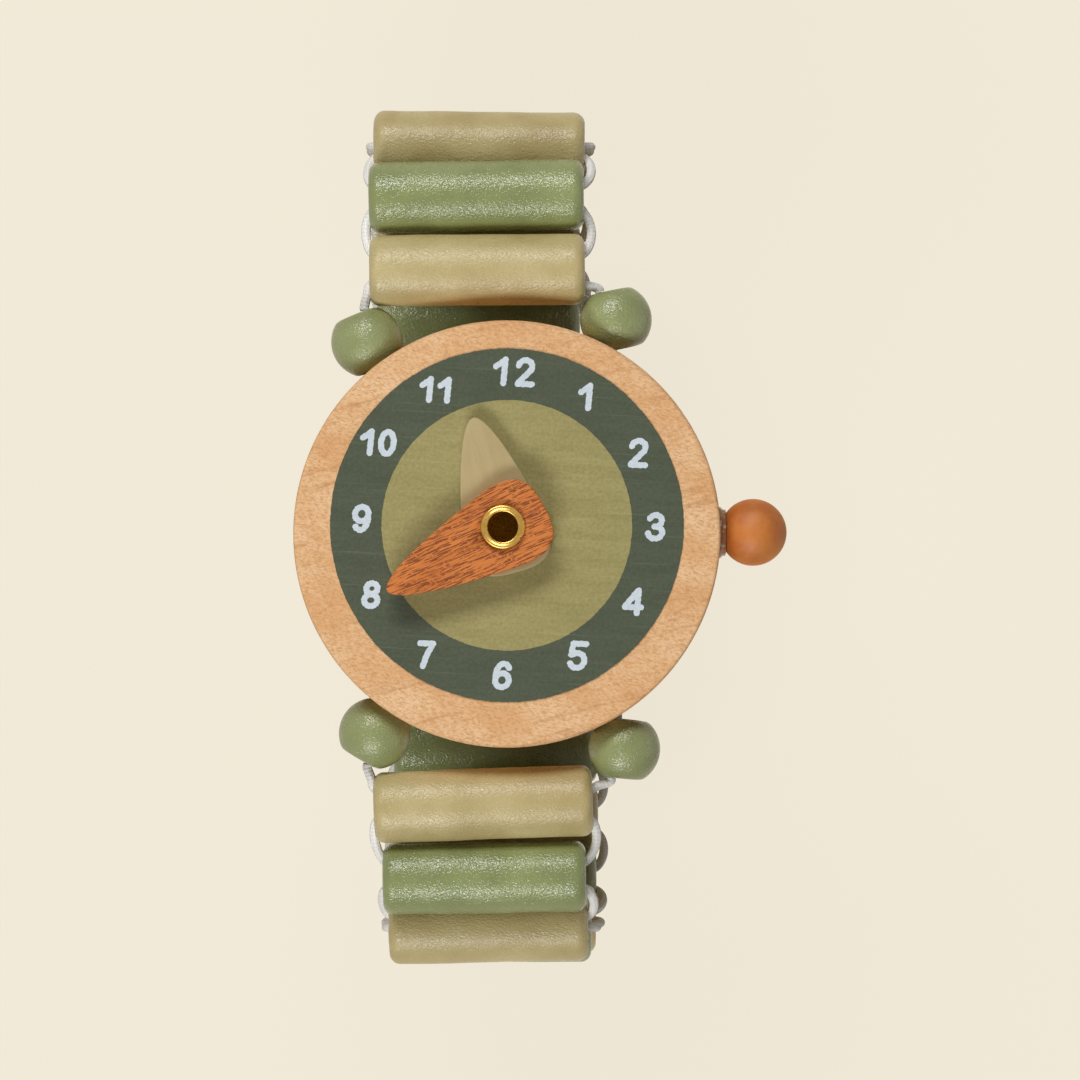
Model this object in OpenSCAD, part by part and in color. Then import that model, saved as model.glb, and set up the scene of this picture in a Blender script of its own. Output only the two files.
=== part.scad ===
// Toy wristwatch of wood: a printed case disc with two hands turning on a brass eyelet,
// a glued crown, four round beads, and a closed strap of tube beads on white elastic cord.
// +Z is the dial's normal, +Y points to 12 o'clock, +X to the crown at 3 o'clock.
// The watch stands dial up on the rear of its strap, whose underside is at z = 0.

/* [Case] */
// Diameter of the wooden case disc
case_d = 35.5; // [32:0.1:42]
// Thickness of the case disc
case_t = 8; // [7.4:0.1:12]
// Rounding of the edges of the case disc
case_round = 0.3; // [0.1:0.05:0.8]
// How far the case sits off the middle of the strap, towards 12 o'clock
case_shift = 0.25; // [0:0.05:1]

/* [Crown] */
// Diameter of the crown ball
crown_d = 5.6; // [4.5:0.1:6.5]
// Distance from the case wall to the middle of the ball
crown_stand = 2.85; // [2.4:0.05:3.6]
// Distance from the middle of the ball to the flat that is glued on
crown_flat = 2.3; // [1.6:0.05:2.3]
// How far the crown sits above the middle of the case, towards 12 o'clock
crown_rise = 0.14; // [-1:0.02:1]
// Diameter of the dowel inside the crown
crown_pin_d = 2; // [1.5:0.1:2.5]
// Depth of the dowel in the case
crown_pin_depth = 4.5; // [3:0.1:6]
// Diameter of the glue bead against the case wall
glue_d = 4.4; // [3.8:0.1:5]
// Depth of the flat seat that is cut in the case wall for the glue
glue_seat = 0.15; // [0.1:0.05:0.4]

/* [Dial print] */
// Outer diameter of the dark printed ring
ring_d = 29.4; // [26:0.1:30]
// Outer diameter of the olive printed centre
centre_d = 20.8; // [18:0.1:22]
// Thickness of a printed layer
print_t = 0.08; // [0.05:0.01:0.2]
// How far the print sits above the middle of the case, towards 12 o'clock
print_shift = 0.72; // [0:0.02:1]
// Thickness of the printed numerals
numeral_t = 0.05; // [0.03:0.01:0.1]
// Height of a numeral
numeral_h = 2.45; // [2:0.05:2.8]
// Width of a numeral's stroke
stroke_w = 0.5; // [0.3:0.02:0.6]
// How far inside the middle of the dark ring the numerals stand
numeral_inset = 0.1; // [-0.3:0.05:0.3]
// Clockwise turn of the whole print, in degrees
print_turn = 2.4; // [-10:0.1:10]

/* [Hands] */
// Reach of the minute hand from the eyelet to its tip
minute_reach = 11.2; // [9:0.1:12]
// Widest half of the minute hand
minute_half_w = 3.4; // [2.6:0.05:4]
// Reach of the hour hand from the eyelet to its tip
hour_reach = 9.4; // [7:0.1:10.5]
// Widest half of the hour hand
hour_half_w = 3.5; // [2.6:0.05:4]
// Reach of both hands behind the eyelet
hand_tail = 3.85; // [3.2:0.05:4.5]
// Thickness of each hand
hand_t = 1.1; // [0.8:0.05:1.6]
// Clockwise angle of the minute hand from 12 o'clock
minute_angle = 240.5; // [0:0.5:360]
// Clockwise angle of the hour hand from 12 o'clock
hour_angle = 344; // [0:0.5:360]
// Gap above and below each hand
hand_gap = 0.1; // [0.05:0.01:0.2]

/* [Eyelet] */
// Outer diameter of the eyelet's tube
eyelet_d = 2.9; // [2.6:0.05:3.2]
// Wall of the eyelet's tube
eyelet_wall = 0.2; // [0.15:0.01:0.3]
// Diameter of the curled lip on the dial side
lip_d = 3.66; // [3.5:0.02:4.4]
// Height of the curled lip
lip_h = 0.5; // [0.4:0.02:0.7]
// Diameter of the flare on the rear side
flare_d = 4.2; // [3.8:0.05:4.8]
// Diameter of the rear washer
washer_d = 6; // [5:0.1:8]
// Thickness of the rear washer
washer_t = 0.3; // [0.2:0.02:0.5]
// Place of the eyelet from the middle of the case, towards the crown
hub_x = -0.33; // [-1:0.01:1]
// Place of the eyelet from the middle of the case, towards 12 o'clock
hub_y = 0.58; // [-1:0.01:1]
// Running clearance between the eyelet and what turns on it
hub_clear = 0.05; // [0.03:0.01:0.09]

/* [Corner beads] */
// Diameter of a corner bead
bead_d = 6; // [5:0.1:6.6]
// Length of a corner bead along its hole
bead_l = 4.9; // [4:0.1:5.2]
// Diameter of a corner bead's hole
bead_bore_d = 2.5; // [2.4:0.05:2.8]
// Clearance between a corner bead and the wood beside it
bead_gap = 0.1; // [0.05:0.01:0.3]

/* [Strap bars] */
// Diameter of a strap bar
bar_d = 6; // [5:0.1:6.6]
// Length of a strap bar
bar_l = 18; // [15:0.1:22]
// Rounding of the ends of a strap bar
bar_round = 0.9; // [0.4:0.05:1.2]
// Diameter of the hole along a strap bar
bar_bore_d = 3.2; // [3.1:0.05:3.4]
// Gap between neighbouring strap bars
bar_gap = 0.3; // [0.2:0.02:0.6]

/* [Elastic] */
// Diameter of the elastic cord
cord_d = 0.9; // [0.7:0.02:0.94]
// Diameter of the cord holes drilled through the case
cord_hole_d = 2; // [1.8:0.05:2.4]
// How far each strand lies from the middle of a bar
cord_side = 0.75; // [0.7:0.01:0.78]
// How far the middle of a loop stands past the bars on the left
loop_out_left = 0.58; // [0.55:0.01:1]
// How far the middle of a loop stands past the bars on the crown side
loop_out_right = 0.8; // [0.55:0.01:1.2]
// Bend radius of the loops, measured at the middle of the cord
loop_bend = 0.75; // [0.55:0.01:0.9]
// Length of a strand that ends inside a bar
strand_end = 4; // [2:0.1:6]
// How far a strand lies aside in a corner bead, towards the middle of the strap
cord_lean = 0.45; // [0.2:0.01:0.5]
// Gap between the case's strands and the first loops of the strap
cord_gap = 0.2; // [0.08:0.01:0.3]

/* [Hidden] */
$fn = 64;

// Sides and places along the strap
UPPER = 1;
LOWER = -1;
LINKS = 10;
LEFT = -1;
RIGHT = 1;

link_numbers = [for (k = [1:LINKS]) k];

overrun = 1;
case_r = case_d / 2;
bar_r = bar_d / 2;
bead_r = bead_d / 2;
cord_r = cord_d / 2;
crown_r = crown_d / 2;
pitch = bar_d + bar_gap;

// The left edge of the case and the right edge of the crown are equally far from the origin
case_x = -(crown_stand + crown_r) / 2;

// Corner beads in the order upper left, upper right, lower left, lower right.
// Each lies beside the end of its first bar, outwards by a share of its radius, and stands off
// the case wall by another share. Tilts are clockwise from 12 o'clock, seen from above.
bead_out_shares = [0.08, 0.868, -0.015, 0.887];
bead_stand_shares = [0.727, 0.79, 0.767, 0.913];
bead_tilts = [-22, -12, 210, 186];
bead_hands = [LEFT, RIGHT, LEFT, RIGHT];
bead_sides = [UPPER, UPPER, LOWER, LOWER];

function bearing_point(angle, reach) = [reach * sin(angle), reach * cos(angle)];
function bead_x(j) = bar_end(bead_sides[j], 1, bead_hands[j]) + bead_hands[j] * bead_out_shares[j] * bead_r;
function bead_place(j) = let (
        stand = case_r + bead_stand_shares[j] * bead_r,
        beside = bead_x(j) - case_x
    ) [bead_x(j), case_shift + bead_sides[j] * sqrt(stand * stand - beside * beside)];
function bead_along(j, reach) = bead_place(j) + bearing_point(bead_tilts[j], reach);
// Towards the middle of the strap, square to the bead's hole
function bead_inward(j) = let (across = [cos(bead_tilts[j]), -sin(bead_tilts[j])])
    across * sign(across[0]) * -bead_hands[j];
function mouth_out(j) = bead_along(j, bead_l / 2) + cord_lean * bead_inward(j);
function mouth_in(j) = bead_along(j, -bead_l / 2) + cord_lean * bead_inward(j);

// Strap bars, counted from the case: sidewise shift from the middle of the case and length,
// as shares of a bar's length, and the turn of each bar in its layer in degrees
upper_shift_shares = [-0.139, -0.144, -0.133, -0.14, -0.144, -0.147, -0.15, -0.15, -0.144, -0.133];
lower_shift_shares = [-0.111, -0.106, -0.089, -0.083, -0.078, -0.072, -0.067, -0.067, -0.083, -0.1];
rear_shift_share = -0.117;
upper_length_shares = [1, 1, 0.99, 1, 1, 0.99, 1, 1, 0.99, 1];
lower_length_shares = [1.016, 0.945, 0.935, 0.96, 1, 1, 1.01, 1, 0.99, 1];
upper_turns = [0.5, 1.1, -0.7, 0, 0, 0, 0, 0, 0, 0];
lower_turns = [2, 0.9, 1.2, 0, 0, 0, 0, 0, 0, 0];

function is_rear(k) = k > LINKS;
function shift_share(side, k) = is_rear(k) ? rear_shift_share
    : side == UPPER ? upper_shift_shares[k - 1] : lower_shift_shares[k - 1];
function length_share(side, k) = is_rear(k) ? 1
    : side == UPPER ? upper_length_shares[k - 1] : lower_length_shares[k - 1];
function bar_turn(side, k) = is_rear(k) ? 0
    : side == UPPER ? upper_turns[k - 1] : lower_turns[k - 1];
function bar_x(side, k) = case_x + shift_share(side, k) * bar_l;
function bar_half(side, k) = length_share(side, k) * bar_l / 2;
function bar_end(side, k, hand) = bar_x(side, k) + hand * bar_half(side, k);

// The first bar lies where its rounded end just clears the corner beads beside it,
function corner_reach(side, j) = let (
        hand = bead_hands[j],
        turn = bar_turn(side, 1),
        half = bar_half(side, 1) - bar_round,
        beside = max(0, hand * (bead_place(j)[0] - bar_x(side, 1)) - half * cos(turn)),
        touch = bead_r + bar_round + bead_gap
    ) side * (bead_place(j)[1] - hand * half * sin(turn))
        + sqrt(max(0, touch * touch - beside * beside)) + bar_r - bar_round;
// and where its elastic passes clear of their outer ends
function loop_reach(side, j) = let (end_r = sqrt(max(0, bead_r * bead_r - bead_l * bead_l / 4)))
    side * bead_along(j, bead_l / 2)[1] + end_r * abs(sin(bead_tilts[j]))
        + cord_r + bead_gap + cord_side;
function first_reach(j) = max(corner_reach(bead_sides[j], j), loop_reach(bead_sides[j], j));
first_y = max([for (j = [0:3]) first_reach(j)]);

// Slope of the step from each bar to the next, 0 outwards, 90 down and 180 back under the case.
// The steps round the lower bend turn a little, so that both halves meet at the rear bar.
step_slopes = [8, 45, 86, 95, 120, 151, 168, 177, 180, 180];
step_weights = [0, 0, 0, 1, 1, 1, 1, 0, 0, 0];
step_numbers = [for (k = [0:LINKS - 1]) k];
function total(list) = list * [for (entry = list) 1];
function run_out(bend) = total([for (k = step_numbers) cos(step_slopes[k] + bend * step_weights[k])]);
function fitted_bend(low, high, tries) = let (middle = (low + high) / 2)
    tries == 0 ? middle
    : run_out(middle) * pitch > -first_y ? fitted_bend(middle, high, tries - 1)
    : fitted_bend(low, middle, tries - 1);
bend_limit = 60;
fit_tries = 40;
strap_bend = fitted_bend(-bend_limit, bend_limit, fit_tries);
slopes = step_slopes + strap_bend * step_weights;
function steps_before(k) = [for (n = step_numbers) n < k - 1 ? 1 : 0];
function bar_y(k) = first_y + pitch * steps_before(k) * [for (s = slopes) cos(s)];
function drop_before(k) = pitch * steps_before(k) * [for (s = slopes) sin(s)];
case_z = bar_r + drop_before(LINKS + 1);
function bar_z(k) = case_z - drop_before(k);

// Heights of the layers on the case
dial_z = case_z + case_t / 2;
hour_z = dial_z + print_t + hand_gap;
minute_z = hour_z + hand_t + hand_gap;
lip_z = minute_z + hand_t + hand_gap;
back_z = case_z - case_t / 2;
eyelet_r = eyelet_d / 2;
hub = [case_x + hub_x, case_shift + hub_y];
print_middle = [case_x, case_shift + print_shift];
glue_wall_x = case_x + case_r - glue_seat;
crown_x = case_x + case_r + crown_stand;
crown_y = case_shift + crown_rise;
glue_end_x = crown_x - crown_flat;

wood_colour = "#e2b481";
beige_colour = "#c1b07e";
green_colour = "#8a9261";
cord_colour = "#f2f2f4";
brass_colour = "#b48e47";

// Round bar or disc about Z, from zero to its height, with rounded rims and a bore
module rounded_round(radius, height, rim, bore_r) {
    rotate_extrude() intersection() {
        translate([bore_r, 0]) square([radius - bore_r, height]);
        union() {
            translate([0, rim]) square([radius, height - 2 * rim]);
            square([radius - rim, height]);
            for (rim_z = [rim, height - rim]) translate([radius - rim, rim_z]) circle(rim);
        }
    }
}

// Cylinder lying along the bearing of the flat direction given, centred on its middle or not
module lying_round(angle, radius, length, centred) {
    rotate([0, 0, -angle]) rotate([-90, 0, 0]) cylinder(r = radius, h = length, center = centred);
}

// Cord along flat points, with round bends of one radius at the points between its ends
function heading(points, k) = let (d = points[k + 1] - points[k]) atan2(d[1], d[0]);
function turn_at(points, k) = let (t = heading(points, k) - heading(points, k - 1))
    t > 180 ? t - 360 : t < -180 ? t + 360 : t;
function tangent(points, k, bend) = k == 0 || k == len(points) - 1 ? 0
    : bend * tan(abs(turn_at(points, k)) / 2);
module cord(points, bend) {
    color(cord_colour) for (k = [0:len(points) - 2]) {
        start = tangent(points, k, bend);
        straight = norm(points[k + 1] - points[k]) - start - tangent(points, k + 1, bend);
        translate(points[k]) rotate(heading(points, k)) translate([start, 0])
            rotate([0, 90, 0]) cylinder(r = cord_r, h = straight);
        if (k > 0) cord_bend(points, k, bend);
    }
}
// The same cord as one swept tube, for bends that aren't square: rings of points along its middle
cord_sides = 12;
bend_steps = 6;
function bend_ring(points, k, bend, n) = let (
        turn = turn_at(points, k),
        from = heading(points, k - 1),
        across = sign(turn) * bend * [-sin(from), cos(from)],
        back = points[k] - tangent(points, k, bend) * [cos(from), sin(from)],
        part = turn * n / bend_steps
    ) concat(back + across - [[cos(part), -sin(part)], [sin(part), cos(part)]] * across, from + part);
function cord_rings(points, bend) = let (last = len(points) - 1) concat(
    [concat(points[0], heading(points, 0))],
    [for (k = [1:last - 1]) for (n = [0:bend_steps]) bend_ring(points, k, bend, n)],
    [concat(points[last], heading(points, last - 1))]
);
module swept_cord(points, bend) {
    rings = cord_rings(points, bend);
    count = len(rings);
    corners = [for (ring = rings) for (n = [0:cord_sides - 1]) let (a = 360 * n / cord_sides)
        [ring[0] - cord_r * cos(a) * sin(ring[2]), ring[1] + cord_r * cos(a) * cos(ring[2]), cord_r * sin(a)]];
    walls = [for (m = [0:count - 2]) for (n = [0:cord_sides - 1]) let (
            low = m * cord_sides,
            next = (n + 1) % cord_sides
        ) [low + n, low + next, low + cord_sides + next, low + cord_sides + n]];
    start_cap = [for (n = [cord_sides - 1:-1:0]) n];
    end_cap = [for (n = [0:cord_sides - 1]) (count - 1) * cord_sides + n];
    color(cord_colour) polyhedron(points = corners, faces = concat([start_cap], walls, [end_cap]));
}
module cord_bend(points, k, bend) {
    turn = turn_at(points, k);
    translate(points[k]) rotate(heading(points, k - 1)) translate([-tangent(points, k, bend), 0])
        mirror([0, turn < 0 ? 1 : 0, 0]) translate([0, bend]) rotate([0, 0, -90])
        rotate_extrude(angle = abs(turn)) translate([bend, 0]) circle(cord_r);
}

module case_disc() {
    color(wood_colour) difference() {
        translate([case_x, case_shift, back_z]) rounded_round(case_r, case_t, case_round, 0);
        translate([hub[0], hub[1], back_z - overrun])
            cylinder(r = eyelet_r + hub_clear, h = case_t + 2 * overrun);
        for (j = [0:3]) translate(concat(bead_along(j, -bead_l / 2 - bead_gap), case_z))
            lying_round(bead_tilts[j], bead_r + bead_gap, bead_l, false);
        for (j = [0, 1]) cord_hole(mouth_in(j), mouth_in(j + 2));
        translate([glue_wall_x, crown_y, case_z])
            lying_round(90, glue_d / 2 + bead_gap, crown_d, false);
        translate([glue_wall_x - crown_pin_depth, crown_y, case_z])
            lying_round(90, crown_pin_d / 2 + hub_clear, crown_d, false);
    }
}

module cord_hole(start, end) {
    along = end - start;
    translate(concat((start + end) / 2, case_z))
        lying_round(90 - atan2(along[1], along[0]), cord_hole_d / 2, norm(along) + 2 * overrun, true);
}

module print_layer(outer_d, inner_d, layer_colour) {
    color(layer_colour) difference() {
        translate(concat(print_middle, dial_z)) cylinder(d = outer_d, h = print_t, $fn = 128);
        translate(concat(print_middle, dial_z - overrun)) cylinder(d = inner_d, h = 2 * overrun, $fn = 128);
    }
}

module dial_ring() print_layer(ring_d, centre_d, "#575e4c");

module dial_centre() {
    color("#a0975f") difference() {
        translate(concat(print_middle, dial_z)) cylinder(d = centre_d, h = print_t, $fn = 128);
        translate(concat(hub, dial_z - overrun)) cylinder(r = eyelet_r + hub_clear, h = 2 * overrun);
    }
}

// Each numeral, 0 to 9, is drawn about its middle in shares of its height. Strokes are points.
stroke_shares = [
    [],
    [[[0.12, -0.39], [0.12, 0.39]], [[-0.17, 0.15], [0.12, 0.37]]],
    [[[0.17, 0.06], [-0.21, -0.37]], [[-0.21, -0.39], [0.25, -0.39]]],
    [],
    [[[0.15, -0.39], [0.15, 0.39]], [[0.12, 0.37], [-0.27, -0.17]], [[-0.27, -0.19], [0.28, -0.19]]],
    [[[0.24, 0.39], [-0.17, 0.39]], [[-0.17, 0.39], [-0.21, 0.03]]],
    [],
    [[[-0.23, 0.39], [0.21, 0.39]], [[0.21, 0.39], [0.03, 0], [-0.07, -0.39]]],
    [],
    []
];
// Open arcs: middle, radii along X and Y, and the angles where the arc starts and ends
arc_shares = [
    [],
    [],
    [[-0.01, 0.18, 0.22, 0.21, 172, -35]],
    [[-0.03, 0.2, 0.205, 0.19, 160, -96], [-0.01, -0.19, 0.235, 0.2, 96, -172]],
    [],
    [[-0.01, -0.15, 0.235, 0.24, 128, -155]],
    [[0.02, -0.02, 0.245, 0.41, 180, 42]],
    [],
    [],
    [[-0.01, 0.02, 0.24, 0.41, 0, -132]]
];
// Closed ovals: middle, and radii along X and Y
oval_shares = [
    [[0, 0, 0.225, 0.39]],
    [],
    [],
    [],
    [],
    [],
    [[0, -0.16, 0.225, 0.23]],
    [],
    [[0, 0.21, 0.19, 0.18], [0, -0.19, 0.225, 0.2]],
    [[0, 0.15, 0.225, 0.24]]
];
arc_steps = 12;
oval_steps = 24;
cap_steps = 5;
function oval_point(arc, angle) = [arc[0] + arc[2] * cos(angle), arc[1] + arc[3] * sin(angle)];
function side_normal(points, k) = let (
        before = points[max(k - 1, 0)],
        after = points[min(k + 1, len(points) - 1)],
        d = (after - before) / norm(after - before)
    ) [-d[1], d[0]];
// Stroke with round ends along points, in shares of the numeral's height
function cap_points(end, across, half) = [for (n = [1:cap_steps]) let (a = 180 * n / (cap_steps + 1))
    end + half * (across * cos(a) + [across[1], -across[0]] * sin(a))];
module stroke(points, height) {
    half = stroke_w / 2;
    last = len(points) - 1;
    across = [for (k = [0:last]) side_normal(points, k)];
    left = [for (k = [0:last]) points[k] * height + half * across[k]];
    right = [for (k = [last:-1:0]) points[k] * height - half * across[k]];
    polygon(concat(
        left, cap_points(points[last] * height, across[last], half),
        right, cap_points(points[0] * height, -across[0], half)
    ));
}
module arc_stroke(arc, height) {
    stroke([for (n = [0:arc_steps]) oval_point(arc, arc[4] + (arc[5] - arc[4]) * n / arc_steps)], height);
}
module oval_stroke(oval, height) {
    half = stroke_w / 2;
    angles = [for (n = [0:oval_steps - 1]) 360 * n / oval_steps];
    outward = [for (a = angles) let (d = [oval[2] * cos(a), oval[3] * sin(a)]) d / norm(d)];
    difference() {
        polygon([for (n = [0:oval_steps - 1]) oval_point(oval, angles[n]) * height + half * outward[n]]);
        polygon([for (n = [0:oval_steps - 1]) oval_point(oval, angles[n]) * height - half * outward[n]]);
    }
}
module digit(value, height) {
    for (points = stroke_shares[value]) stroke(points, height);
    for (arc = arc_shares[value]) arc_stroke(arc, height);
    for (oval = oval_shares[value]) oval_stroke(oval, height);
}

// Places of the numerals, 1 to 12, off their hour: clockwise in degrees, and outwards as a share
numeral_turns = [-0.9, -1.2, -1.8, -1.3, -0.9, -0.7, -0.4, 0.5, 0.3, 0.2, -0.1, -0.1];
numeral_out_shares = [0.005, 0.001, -0.006, -0.015, -0.01, 0.001, 0.018, 0.015, -0.029, 0.025, 0.021, 0.025];
// Their heights as shares, and the step between the two digits of 10, 11 and 12
numeral_height_shares = [0.99, 1.05, 1.02, 0.99, 1.05, 1.02, 0.99, 0.99, 1, 0.95, 0.92, 1.04];
digit_step_shares = [0.68, 0.61, 0.83];
numeral_lean = 0.055;
hour_step = 30;
numeral_ring_r = (ring_d + centre_d) / 4 - numeral_inset;
module numerals() {
    color("#d2dde6") translate(concat(print_middle, dial_z + print_t)) linear_extrude(numeral_t)
        for (hour = [1:12]) {
            angle = hour_step * hour + print_turn + numeral_turns[hour - 1];
            reach = numeral_ring_r * (1 + numeral_out_shares[hour - 1]);
            height = numeral_h * numeral_height_shares[hour - 1];
            translate(bearing_point(angle, reach)) rotate(-print_turn)
                if (hour < 10) leaning_digit(hour, height);
                else {
                    aside = digit_step_shares[hour - 10] * numeral_h / 2;
                    translate([-aside, 0]) leaning_digit(1, height);
                    translate([aside, 0]) leaning_digit(hour - 10, height);
                }
        }
}
module leaning_digit(value, height) {
    multmatrix([[1, numeral_lean, 0, 0], [0, 1, 0, 0], [0, 0, 1, 0], [0, 0, 0, 1]]) digit(value, height);
}

// Outline of a hand that points along +Y: a rounded tail, then sides that narrow to a round tip
widest_share = 0.62;
tip_power = 0.48;
tail_power = 2.7;
function hand_half(y, reach, half_w) = let (widest = -hand_tail * widest_share)
    y > widest ? half_w * pow((reach - y) / (reach - widest), tip_power)
    : half_w * pow(max(0, 1 - pow((widest - y) / (hand_tail + widest), tail_power)), 1 / tail_power);
// Closer points towards both ends, where the outline turns fastest
outline_steps = 40;
function hand_y(n, reach) = (reach - hand_tail) / 2 - (reach + hand_tail) / 2 * cos(180 * n / outline_steps);
module hand(reach, half_w, angle, base_z, hand_colour) {
    right = [for (n = [0:outline_steps]) let (y = hand_y(n, reach)) [hand_half(y, reach, half_w), y]];
    left = [for (n = [outline_steps - 1:-1:1]) [-right[n][0], right[n][1]]];
    color(hand_colour) translate(concat(hub, base_z)) rotate(-angle) difference() {
        linear_extrude(hand_t) polygon(concat(right, left));
        translate([0, 0, -overrun]) cylinder(r = eyelet_r + hub_clear, h = hand_t + 2 * overrun);
    }
}
module hour_hand() hand(hour_reach, hour_half_w, hour_angle, hour_z, "#b7a676");
module minute_hand() hand(minute_reach, minute_half_w, minute_angle, minute_z, "#be713c");

module eyelet() {
    inner_r = eyelet_r - eyelet_wall;
    lip_w = lip_d / 2 - inner_r;
    flare_w = flare_d / 2 - inner_r;
    low_z = back_z - washer_t;
    color(brass_colour) translate(concat(hub, 0)) rotate_extrude() {
        translate([inner_r, low_z - eyelet_wall]) square([eyelet_wall, lip_z - low_z + eyelet_wall + lip_h / 2]);
        translate([inner_r, lip_z]) square([lip_w - lip_h / 2, lip_h]);
        translate([inner_r + lip_w - lip_h / 2, lip_z + lip_h / 2]) circle(lip_h / 2);
        translate([inner_r, low_z - eyelet_wall]) square([flare_w, eyelet_wall]);
    }
}

module rear_washer() {
    color(brass_colour) translate(concat(hub, back_z - washer_t)) difference() {
        cylinder(d = washer_d, h = washer_t);
        translate([0, 0, -overrun]) cylinder(r = eyelet_r + hub_clear, h = washer_t + 2 * overrun);
    }
}

// Ball with a glued flat towards the case, and a blind hole for the dowel up to its middle
module crown_ball() {
    hole_r = crown_pin_d / 2 + hub_clear;
    color("#c87e45") translate([crown_x, crown_y, case_z]) rotate([0, 90, 0])
        rotate_extrude() intersection() {
            circle(crown_r);
            union() {
                square(crown_r);
                translate([hole_r, -crown_flat]) square([crown_r, crown_flat + crown_r]);
            }
        }
}

module crown_pin() {
    color("#d9b98a") translate([glue_wall_x - crown_pin_depth, crown_y, case_z])
        lying_round(90, crown_pin_d / 2, crown_x - glue_wall_x + crown_pin_depth - hub_clear, false);
}

// How far the glue spreads past the flat of the crown, as a share of the flat
glue_spread = 1.12;
// Glue squeezed out between the flat seat of the case and the flat of the crown
module crown_glue() {
    length = glue_end_x - glue_wall_x;
    flat_r = sqrt(crown_r * crown_r - crown_flat * crown_flat) * glue_spread;
    color("#ead9b8") translate([glue_wall_x, crown_y, case_z]) rotate([0, 90, 0]) difference() {
        union() {
            cylinder(r = glue_d / 2, h = length / 2);
            cylinder(r = min(glue_d / 2, flat_r), h = length);
        }
        translate([0, 0, -overrun]) cylinder(r = crown_pin_d / 2 + hub_clear, h = length + 2 * overrun);
    }
}

module corner_bead(j) {
    color(green_colour) translate(concat(bead_place(j), case_z))
        rotate([0, 0, -bead_tilts[j]]) rotate([-90, 0, 0]) rotate_extrude() intersection() {
            circle(bead_r);
            translate([bead_bore_d / 2, -bead_l / 2]) square([bead_r, bead_l]);
        }
}

// One strand runs down each side of the case, through the beads above and below
module case_elastic() {
    for (j = [0, 1])
        translate([0, 0, case_z])
            swept_cord([mouth_out(j), mouth_in(j), mouth_in(j + 2), mouth_out(j + 2)], bead_r);
}

module bar(side, k) {
    length = 2 * bar_half(side, k);
    color(k % 2 == 1 ? beige_colour : green_colour)
        translate([bar_x(side, k), side * bar_y(k), bar_z(k)]) rotate([0, 0, bar_turn(side, k)])
        rotate([0, 90, 0]) translate([0, 0, -length / 2])
        rounded_round(bar_r, length, bar_round, bar_bore_d / 2);
}

// Frame of the step from bar k to the next: +Y runs from one bar to the other
module step_frame(side, k) {
    mirror([0, side == LOWER ? 1 : 0, 0]) translate([0, bar_y(k), bar_z(k)])
        rotate([-slopes[k - 1], 0, 0]) children();
}
function loop_right(side, k) = max(bar_end(side, k, RIGHT), bar_end(side, k + 1, RIGHT)) + loop_out_right;
function loop_left(side, k) = min(bar_end(side, k, LEFT), bar_end(side, k + 1, LEFT)) - loop_out_left;

// Elastic that comes along with bar k: a strand through it, and the loops back to the bar before it
module link_elastic(side, k) {
    if (k == 1) first_elastic(side);
    else {
        near = cord_side;
        far = pitch - cord_side;
        step_frame(side, k - 1) cord([
            [bar_end(side, k - 1, RIGHT) - strand_end, near], [loop_right(side, k - 1), near],
            [loop_right(side, k - 1), far], [loop_left(side, k - 1), far],
            [loop_left(side, k - 1), near], [bar_end(side, k - 1, LEFT) + strand_end, near]
        ], loop_bend);
    }
}

// The first bar hangs on two loops that come out of the corner beads
module first_elastic(side) {
    first_bead = side == UPPER ? 0 : 2;
    entry_y = side * (first_y - cord_side);
    starts = [for (j = [first_bead, first_bead + 1]) mouth_out(j) + bearing_point(bead_tilts[j], cord_gap)];
    loop_outs = [loop_out_left, loop_out_right];
    bends = [for (n = [0, 1]) let (hand = bead_hands[n])
        [hand * max(hand * bar_end(side, 1, hand) + loop_outs[n], hand * starts[n][0] - cord_r / 2), entry_y]];
    room = min([for (start = starts) side * (entry_y - start[1])]);
    translate([0, 0, case_z])
        swept_cord([starts[0], bends[0], bends[1], starts[1]], min(loop_bend, room));
}

// The rear bar's own link, and the two loops that close the strap to the last lower bar
module elastic_rear() {
    link_elastic(UPPER, LINKS + 1);
    near = cord_side;
    far = pitch - cord_side;
    step_frame(LOWER, LINKS) {
        cord([
            [bar_end(LOWER, LINKS, RIGHT) - strand_end, near], [loop_right(LOWER, LINKS), near],
            [loop_right(LOWER, LINKS), far], [bar_end(LOWER, LINKS + 1, RIGHT) - strand_end, far]
        ], loop_bend);
        cord([
            [bar_end(LOWER, LINKS, LEFT) + strand_end, near], [loop_left(LOWER, LINKS), near],
            [loop_left(LOWER, LINKS), far], [bar_end(LOWER, LINKS + 1, LEFT) + strand_end, far]
        ], loop_bend);
    }
}

case_disc();
dial_ring();
dial_centre();
numerals();
eyelet();
rear_washer();
hour_hand();
minute_hand();
crown_ball();
crown_pin();
crown_glue();
corner_bead(0);  // bead_upper_left
corner_bead(1);  // bead_upper_right
corner_bead(2);  // bead_lower_left
corner_bead(3);  // bead_lower_right
case_elastic();
bar(UPPER, LINKS + 1);  // bar_rear
elastic_rear();
for (k = link_numbers) {
    bar(UPPER, k);
    bar(LOWER, k);
    link_elastic(UPPER, k);
    link_elastic(LOWER, k);
}
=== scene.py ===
"""Looks of a wooden toy watch: printed dial, two hands on a brass eyelet, and a bead strap on elastic."""

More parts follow.
